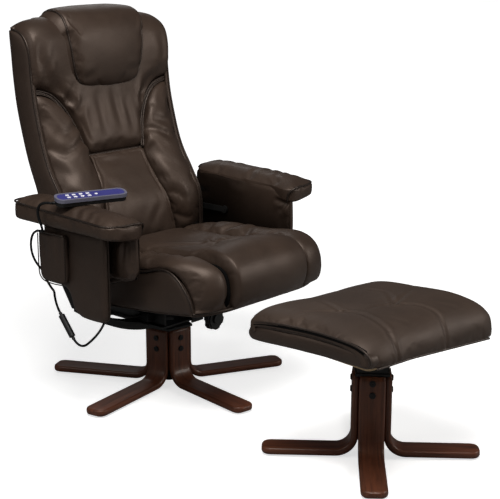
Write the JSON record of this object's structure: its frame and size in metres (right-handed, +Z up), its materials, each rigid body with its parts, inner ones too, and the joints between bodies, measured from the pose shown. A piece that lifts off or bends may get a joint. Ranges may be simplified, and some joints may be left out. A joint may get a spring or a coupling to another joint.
{
  "type": "massage chair with footstool",
  "caption": "Upholstered swivel recliner with massage motors, wooden star base, corded handset and matching padded footstool.",
  "frame": {"origin": "on the floor under the chair's swivel axis", "axes": "+Z up along the swivel axis; the chair faces -Y; +X is the sitter's left"},
  "size_m": [0.8358, 1.3225, 1.061],
  "materials": {
    "wood": "dark mahogany lacquer",
    "black_metal": "satin black powder coat",
    "steel": "zinc plated",
    "black_plastic": "fine matte",
    "bush_plastic": "natural",
    "cable_rubber": "smooth black sheath",
    "leather": "dark brown, semi-gloss",
    "webbing": "elastic strap",
    "plywood": "raw plywood",
    "silver_plastic": "silver",
    "blue_face": "blue overlay",
    "board_green": "solder mask",
    "key_white": "white"
  },
  "bodies": {
    "base": {"base_legs": "wood", "base_glides": "black_plastic", "base_column": "black_metal", "base_cap_plate": "black_metal", "base_hub_tube": "black_metal", "base_bolts": "black_metal", "swivel_bushes": "bush_plastic"},
    "mechanism": {"swivel_spindle": "steel", "mechanism_plate": "black_metal", "cross_beam": "black_metal", "slide_rails": "steel", "arm_brackets": "black_metal", "arm_pad_right": "leather", "arm_pad_left": "leather", "arm_panel_outer_right": "leather", "arm_panel_outer_left": "leather", "arm_panel_inner_right": "leather", "arm_panel_inner_left": "leather", "side_pocket": "leather", "handset_cable": "cable_rubber", "connector_socket": "black_plastic", "connector_plug": "black_plastic", "chair_cable": "cable_rubber", "control_box": "black_plastic"},
    "knob": {"clamp_knob": "black_plastic"},
    "links": {"recline_links": "black_metal"},
    "seat": {"seat_frame": "black_metal", "hinge_pins": "steel", "seat_springs": "steel", "seat_cushion": "leather", "seat_motor_shells": "steel"},
    "back": {"back_frame": "plywood", "back_webbing": "webbing", "back_cushion": "leather", "back_rear_cover": "leather", "head_pillow": "leather", "back_motor_shells": "steel"},
    "handset": {"handset_lower_shell": "black_plastic", "handset_upper_shell": "silver_plastic", "handset_face": "blue_face", "handset_circuit_board": "board_green"},
    "footstool": {"stool_legs": "wood", "stool_glides": "black_plastic", "stool_column": "black_metal", "stool_bolts": "black_metal", "stool_top_plate": "plywood", "stool_cushion": "leather"},
    "seat_rotor_right": {"seat_rotor_right": "steel"},
    "seat_rotor_left": {"seat_rotor_left": "steel"},
    "back_rotor_low": {"back_rotor_low": "steel"},
    "back_rotor_high": {"back_rotor_high": "steel"},
    "key_a1": {"key_a1": "key_white"},
    "key_a2": {"key_a2": "key_white"},
    "key_a3": {"key_a3": "key_white"},
    "key_a4": {"key_a4": "key_white"},
    "key_b1": {"key_b1": "key_white"},
    "key_b2": {"key_b2": "key_white"},
    "key_b3": {"key_b3": "key_white"},
    "key_b4": {"key_b4": "key_white"},
    "key_power": {"key_power": "key_white"}
  },
  "joints": [
    {"name": "chair_swivel", "type": "hinge", "parent": "base", "child": "mechanism", "pos_m": [0, 0, 0.2], "axis": [0, 0, 1], "continuous": true},
    {"name": "seat_slide", "type": "slide", "parent": "mechanism", "child": "seat", "axis": [0, -0.9956, 0.0941], "range_m": [0, 0.06]},
    {"name": "back_recline", "type": "hinge", "parent": "seat", "child": "back", "pos_m": [0, 0.128, 0.335], "axis": [-1, 0, 0], "range_deg": [0, 35]},
    {"name": "link_swing", "type": "hinge", "parent": "mechanism", "child": "links", "pos_m": [0, 0.038, 0.455], "axis": [-1, 0, 0], "range_deg": [0, 19]},
    {"name": "clamp_knob_turn", "type": "hinge", "parent": "mechanism", "child": "knob", "pos_m": [0, -0.18, 0.223], "axis": [0, -1, 0], "range_deg": [0, 540]},
    {"name": "handset_lift", "type": "slide", "parent": "mechanism", "child": "handset", "axis": [0, 0, 1], "range_m": [0, 0.2]},
    {"name": "footstool_shift", "type": "slide", "parent": "base", "child": "footstool", "axis": [0, -1, 0], "range_m": [0, 0.25]},
    {"name": "key_a1_press", "type": "slide", "parent": "handset", "child": "key_a1", "axis": [0.0677, 0.1966, -0.9781], "range_m": [0, 0.0008], "stiffness_N_per_m": 400},
    {"name": "key_a2_press", "type": "slide", "parent": "handset", "child": "key_a2", "axis": [0.0677, 0.1966, -0.9781], "range_m": [0, 0.0008], "stiffness_N_per_m": 400},
    {"name": "key_a3_press", "type": "slide", "parent": "handset", "child": "key_a3", "axis": [0.0677, 0.1966, -0.9781], "range_m": [0, 0.0008], "stiffness_N_per_m": 400},
    {"name": "key_a4_press", "type": "slide", "parent": "handset", "child": "key_a4", "axis": [0.0677, 0.1966, -0.9781], "range_m": [0, 0.0008], "stiffness_N_per_m": 400},
    {"name": "key_b1_press", "type": "slide", "parent": "handset", "child": "key_b1", "axis": [0.0677, 0.1966, -0.9781], "range_m": [0, 0.0008], "stiffness_N_per_m": 400},
    {"name": "key_b2_press", "type": "slide", "parent": "handset", "child": "key_b2", "axis": [0.0677, 0.1966, -0.9781], "range_m": [0, 0.0008], "stiffness_N_per_m": 400},
    {"name": "key_b3_press", "type": "slide", "parent": "handset", "child": "key_b3", "axis": [0.0677, 0.1966, -0.9781], "range_m": [0, 0.0008], "stiffness_N_per_m": 400},
    {"name": "key_b4_press", "type": "slide", "parent": "handset", "child": "key_b4", "axis": [0.0677, 0.1966, -0.9781], "range_m": [0, 0.0008], "stiffness_N_per_m": 400},
    {"name": "key_power_press", "type": "slide", "parent": "handset", "child": "key_power", "axis": [0.0677, 0.1966, -0.9781], "range_m": [0, 0.0008], "stiffness_N_per_m": 400},
    {"name": "motor_seat_rotor_right", "type": "hinge", "parent": "seat", "child": "seat_rotor_right", "pos_m": [-0.075, -0.118, 0.353], "axis": [1, 0, 0], "continuous": true},
    {"name": "motor_seat_rotor_left", "type": "hinge", "parent": "seat", "child": "seat_rotor_left", "pos_m": [0.075, -0.118, 0.353], "axis": [1, 0, 0], "continuous": true},
    {"name": "motor_back_rotor_low", "type": "hinge", "parent": "back", "child": "back_rotor_low", "pos_m": [0, 0.18, 0.56], "axis": [1, 0, 0], "continuous": true},
    {"name": "motor_back_rotor_high", "type": "hinge", "parent": "back", "child": "back_rotor_high", "pos_m": [0, 0.258, 0.745], "axis": [1, 0, 0], "continuous": true}
  ],
  "couplings": [
    {"joint": "seat_slide", "follows": "back_recline", "m_per_rad": 0.098221},
    {"joint": "link_swing", "follows": "back_recline", "ratio": 0.54286}
  ]
}
